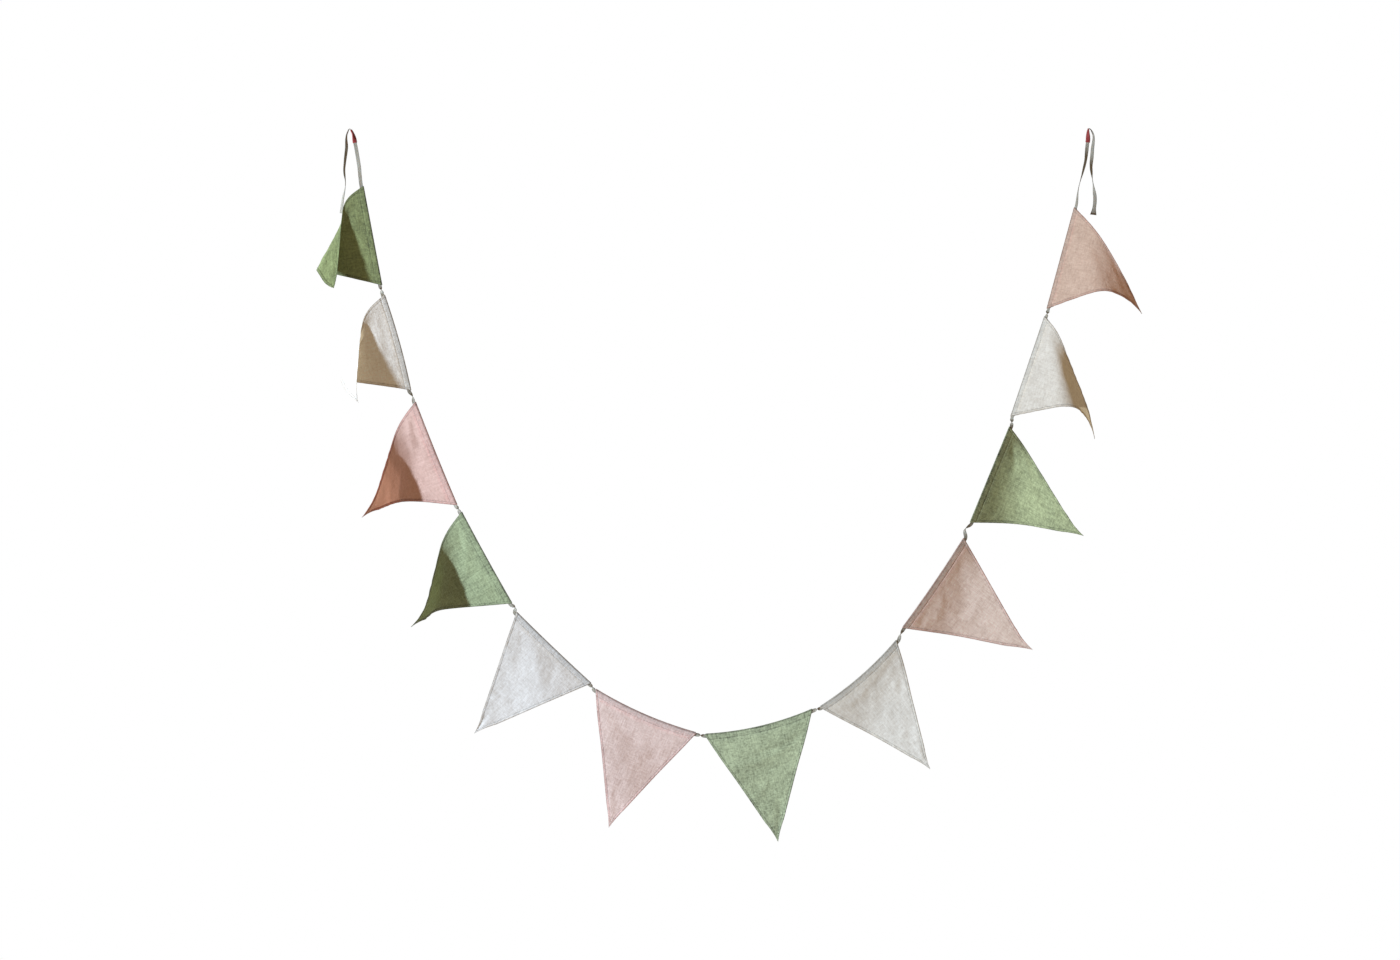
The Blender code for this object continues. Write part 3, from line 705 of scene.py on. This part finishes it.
def columns(pennant, y, inner=54):
    """One row across the cloth: x, how far in from the nearer side, how far behind the front."""
    left, right = pennant.edges_at(y)
    rims, behind = np.array(HEM_STEPS).T
    leans = [math.hypot(run, pennant.tip[1]) / pennant.tip[1]
             for run in (pennant.tip[0], pennant.tip[0] - pennant.width)]
    room = min(1.0, 0.85 * (right - left) / (rims[-1] * sum(leans)))
    a, b = (rims * lean * room for lean in leans)
    middle = np.linspace(left + a[-1], right - b[-1], inner + 2)[1:-1]
    inside = np.minimum((middle - left) / leans[0], (right - middle) / leans[1])
    return (np.concatenate((left + a, middle, (right - b)[::-1])),
            np.concatenate((rims, inside, rims[::-1])),
            np.concatenate((behind, 0 * middle, behind[::-1])))


def creased(pennant, x, y):
    """Height of the listed creases over the flat cloth."""
    height = np.zeros_like(x)
    h = pennant.tip[1]
    for crease in CREASES[pennant.row["name"]]:
        ends = []
        for across, down in (crease["start"], crease["end"]):
            left, right = pennant.edges_at(down * h)
            ends.append(np.array((left + across * (right - left), down * h)))
        run = ends[1] - ends[0]
        length = np.linalg.norm(run)
        run = run / length
        dx, dy = x - ends[0][0], y - ends[0][1]
        along = (dx * run[0] + dy * run[1]) / length
        off = (dx * run[1] - dy * run[0]) + 0.06 * length * np.sin(along * 3.1)
        fade = smooth(along / 0.3 + 0.3) * smooth((1 - along) / 0.3 + 0.3)
        height += crease["rise"] * fade * np.exp(-(off / crease["width"]) ** 2)
    return height


def pennant_rows(pennant):
    """Depths of the mesh's rows on the front, from the fold at the tape to the tip."""
    close = (0.0, 1.2, 3.0, 5.0, 7.0, 8.6, SEAM - 0.5, SEAM, SEAM + 0.5, 11.0, 13.0)
    far = np.linspace(13.0, pennant.tip[1] - 6.0, 58)[1:]
    end = pennant.tip[1] - np.array((4.0, 2.5, 1.3, 0.4))
    return np.concatenate((close, far, end))


def waves(x, y, size, seed):
    """Soft uneven waves about 1 high, size millimetres from crest to crest."""
    chance = np.random.default_rng(seed)
    total = 0 * x
    for _ in range(8):
        a, k = chance.uniform(0, math.pi), 2 * math.pi / (size * chance.uniform(0.7, 1.7))
        total = total + np.sin(k * (x * math.cos(a) + y * math.sin(a)) + chance.uniform(0, 6.3))
    return total / 4


def relief(pennant, x, y, rim, seed):
    """How far the cloth stands off its smooth form: stitching, puckers, creases and waves."""
    hem = (0.25 * np.sin(np.clip(rim / HEM_STITCH, 0, 1) * math.pi)
           - 0.3 * np.exp(-((rim - HEM_STITCH) / 0.6) ** 2))
    casing = -0.35 * np.exp(-((y - SEAM) / 0.6) ** 2)
    pucker = 0.2 * np.exp(-((y - SEAM) / 5) ** 2) * waves(x, 0 * x, 9, seed + 4)
    calm = smooth((y - CASING_DEPTH) / 14)
    down = np.full_like(x, y)
    ripple = 0.5 * np.exp(-rim / 8) * waves(0 * x, down, 16, seed + 1)
    broad = creased(pennant, x, down) * smooth(rim / 9 + 0.3)
    soft = 0.34 * waves(x, down, 30, seed + 2) + 0.12 * waves(x, down, 11, seed + 3)
    return hem + casing + pucker + calm * (ripple + broad + soft)


def cloth_sheet(pennant, seed):
    """Rows of points over the whole cloth, and what the shader reads at each point."""
    points, flat, rims, cords = [], [], [], []

    def add(place, outward, x, y, rim, behind, cord):
        points.append(place - behind[:, None] * outward)
        flat.append(np.stack((x, np.full_like(x, y), 0 * x), axis=-1))
        rims.append(rim)
        cords.append(np.full_like(x, cord))

    for across, out in ((12.0, 0.0), (SEAM, 0.0), (6.0, 0.0), (3.8, -LAYER)):
        depth = across - TURN_CENTRE
        x, rim, behind = columns(pennant, depth)
        spot = np.stack((x, np.full_like(x, depth)), axis=-1)
        normal = pennant.face(spot)
        add(pennant.lay(spot) - (LAYER - out) * normal, -normal, x, -depth, rim, behind, across)
    x, rim, behind = columns(pennant, 0.0)
    place, down, face = pennant.cord_frame(x)
    for k in range(4, 0, -1):
        a = math.pi * k / 4
        outward = face * math.cos(a) - down * math.sin(a)
        add(place + TURN_CENTRE * down + LAYER * outward, outward, x, -LAYER * a, rim, behind, 0)
    for y in pennant_rows(pennant):
        x, rim, behind = columns(pennant, y)
        spot = np.stack((x, np.full_like(x, y)), axis=-1)
        normal = pennant.face(spot)
        rise = relief(pennant, x, y, rim, seed)
        add(pennant.lay(spot) + rise[:, None] * normal, normal, x, y, rim, behind, y)
    return [np.array(v) for v in (points, flat, rims, cords)]


def linen(name, colour, glow, share, grain):
    """Washed linen: uneven threads both ways with slubs, fine crumples, a line of stitches, and
    painted shade along the edges, in the stitch grooves and where the cloth lies double.

    glow and share say what colour, and how much of the light, comes through from behind.
    grain is how strongly the cloth's uneven colour shows, together with the painted shade of
    its soft wrinkles and the painted highlight on its crumple ridges.
    """
    paint = Paint(name, Sheen_Weight=0.15, Sheen_Roughness=0.6)
    flat = paint.vector("flat")
    x, y, _ = paint.parts(flat)
    rim, cord = paint.value("rim"), paint.value("cord")
    wander = paint.noise(flat, 14, 2) * 1.2
    weave = ((x + wander) * (math.pi / 0.8)).sine() * ((y + wander) * (math.pi / 0.8)).sine()
    slubs = (paint.noise(flat, (22, 0.8, 1), 2, shift=3.1)
             + paint.noise(flat, (0.8, 22, 1), 2, shift=7.7) - 1.0)
    mottle = paint.noise(flat, 4.2, 3, 0.6, shift=1.3) - 0.5
    # Painted shade: soft darker and lighter patches about 40 mm across, standing in for the shading of
    # soft wrinkles.
    wrinkle_shade = paint.noise(flat, 40, 2, shift=5.2) - 0.5
    # Crumple lines: raised in the bump, and made a little lighter in colour as a painted highlight on
    # their ridges.
    crumple_and_highlight = 1 - abs(paint.noise(flat, (11, 15, 1), 3, 0.55, shift=9.4) - 0.5) * 4
    # Painted shade: a darker line in the groove along each line of stitching. It also lets a little less
    # light through.
    stitch_groove_shade = rim.line(HEM_STITCH, 0.3, 0.8).most(cord.line(SEAM, 0.3, 0.8))
    dash = ((x + y) % 3.2).ramp(2.2, 2.5, 1.0, 0.0)
    thread = rim.line(HEM_STITCH, 0.28, 0.1).most(cord.line(SEAM, 0.28, 0.1)) * dash
    # Painted shade: the colour is darker along the cut edges and along the fold over the tape.
    edge_and_shade = rim.ramp(0.3, 2.2, 1.0, 0.0).most(cord.ramp(0.5, 2.5, 1.0, 0.0))
    # Painted shade: where the hem and casing lie double, the colour is a little darker, standing in for
    # less light coming through.
    double_layer_shade = rim.ramp(HEM - 0.5, HEM + 0.5, 1.0, 0.0).most(cord.ramp(SEAM, SEAM + 1.5, 1.0, 0.0))
    tone = (1.0 + (mottle * 0.30 + wrinkle_shade * 0.14 + slubs * 0.22 + weave * 0.05 + crumple_and_highlight * 0.03) * grain
            - stitch_groove_shade * 0.26 - edge_and_shade * 0.44 - double_layer_shade * 0.08 + thread * 0.10)
    height = weave * 0.05 + slubs * 0.25 + mottle * 0.55 + crumple_and_highlight * 0.10 + thread * 0.25
    # The colour is multiplied by each pennant's own factor: its dye difference, and painted light and
    # shade that even out how the lamp lights it.
    dye_and_light_colour = paint.mix(1.0, colour, paint.vector("tint"), "MULTIPLY")
    sheet = paint.finish(paint.shade(dye_and_light_colour, tone), mottle * 0.15 + 0.85, height, MM)
    through = paint.node("ShaderNodeBsdfTranslucent", {}, {"Color": glow})
    thin = (1.0 - slubs * 0.5 - weave * 0.1 - stitch_groove_shade * 0.3) * share
    front = Wire(paint, paint.shader.outputs[0])
    both = paint.node("ShaderNodeMixShader", {}, {0: thin, 1: front, 2: through})
    paint.tree.links.new(both.socket, paint.tree.nodes["Material Output"].inputs["Surface"])
    return sheet


linens = {
    "green": linen("linen_green", (0.335, 0.42, 0.245, 1), (0.26, 0.38, 0.05, 1), 0.10, 5.5),
    "white": linen("linen_white", (0.88, 0.89, 0.88, 1), (1.0, 0.80, 0.5, 1), 0.36, 2.2),
    "pink": linen("linen_pink", (0.88, 0.69, 0.62, 1), (0.95, 0.42, 0.26, 1), 0.42, 2.4),
}


for number, (row, casing, course) in enumerate(zip(PENNANTS, route.casings, CASINGS)):
    pennant = Pennant(row, casing, course["turn"])
    points, flat, rim, cord = cloth_sheet(pennant, 10 * number)
    rows, wide = points.shape[:2]
    faces = [(r * wide + c, r * wide + c + 1, (r + 1) * wide + c + 1, (r + 1) * wide + c)[::pennant.side]
             for r in range(rows - 1) for c in range(wide - 1)]
    colour = row["name"].split("_")[-1]
    cloth = mesh_object("linen_" + row["name"], points.reshape(-1, 3), faces,
                        flat=flat.reshape(-1, 3) + (0, 0, 50.0 * number),
                        rim=rim.ravel(), cord=cord.ravel(),
                        tint=np.tile(row["tint"], (points.size // 3, 1)))
    cloth.data.materials.append(linens[colour])
    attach(cloth, "root")
    "linen_" + colour
    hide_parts(row["name"])
    pennant.width * MM
    (pennant.width * pennant.tip[1] / 2 + pennant.width * CASING_DEPTH) * MM * MM


# Studio: a pale floor well below the bunting, white all round it, one lamp close by on the
# left front, so that the light falls off towards the right, and a weak warm fill.

FLOOR_MIDDLE = 640.0
FLOOR_RADIUS = 3000.0
FLOOR_LEVEL = -1900.0
FLOOR_SIDES = 24

ring = [2 * math.pi * k / FLOOR_SIDES for k in range(FLOOR_SIDES)]
floor = mesh_object("floor", [(FLOOR_MIDDLE + FLOOR_RADIUS * math.cos(a), FLOOR_RADIUS * math.sin(a),
                               FLOOR_LEVEL) for a in ring], [tuple(range(FLOOR_SIDES))])
paper = bpy.data.materials.new("white_paper")
paper.use_nodes = True
coat = paper.node_tree.nodes["Principled BSDF"]
coat.inputs["Base Color"].default_value = (0.9, 0.9, 0.9, 1)
coat.inputs["Emission Color"].default_value = (1, 1, 1, 1)
coat.inputs["Emission Strength"].default_value = 0.9
floor.data.materials.append(paper)
floor.visible_diffuse = False
floor.visible_transmission = False

key = bpy.data.objects.new("key", bpy.data.lights.new("key", "AREA"))
key.data.shape = "DISK"
key.data.size = 0.2
key.data.energy = 188.0
key.data.color = (0.80, 0.90, 1.0)
key.location = (-2.3, -2.0, -0.45)
key.rotation_euler = (math.radians(88), 0, -math.radians(56))
bpy.context.scene.collection.objects.link(key)

world = bpy.data.worlds.new("room")
world.use_nodes = True
room = world.node_tree
fill = room.nodes["Background"]
fill.inputs[0].default_value = (1.0, 0.76, 0.52, 1)
fill.inputs[1].default_value = 0.29
white = room.nodes.new("ShaderNodeBackground")
seen = room.nodes.new("ShaderNodeLightPath")
both = room.nodes.new("ShaderNodeMixShader")
for out, into in ((seen.outputs["Is Camera Ray"], both.inputs[0]),
                  (fill.outputs[0], both.inputs[1]),
                  (white.outputs[0], both.inputs[2]),
                  (both.outputs[0], room.nodes["World Output"].inputs[0])):
    room.links.new(out, into)
white.inputs[0].default_value = (1, 1, 1, 1)
bpy.context.scene.world = world
bpy.context.scene.view_settings.view_transform = "Standard"
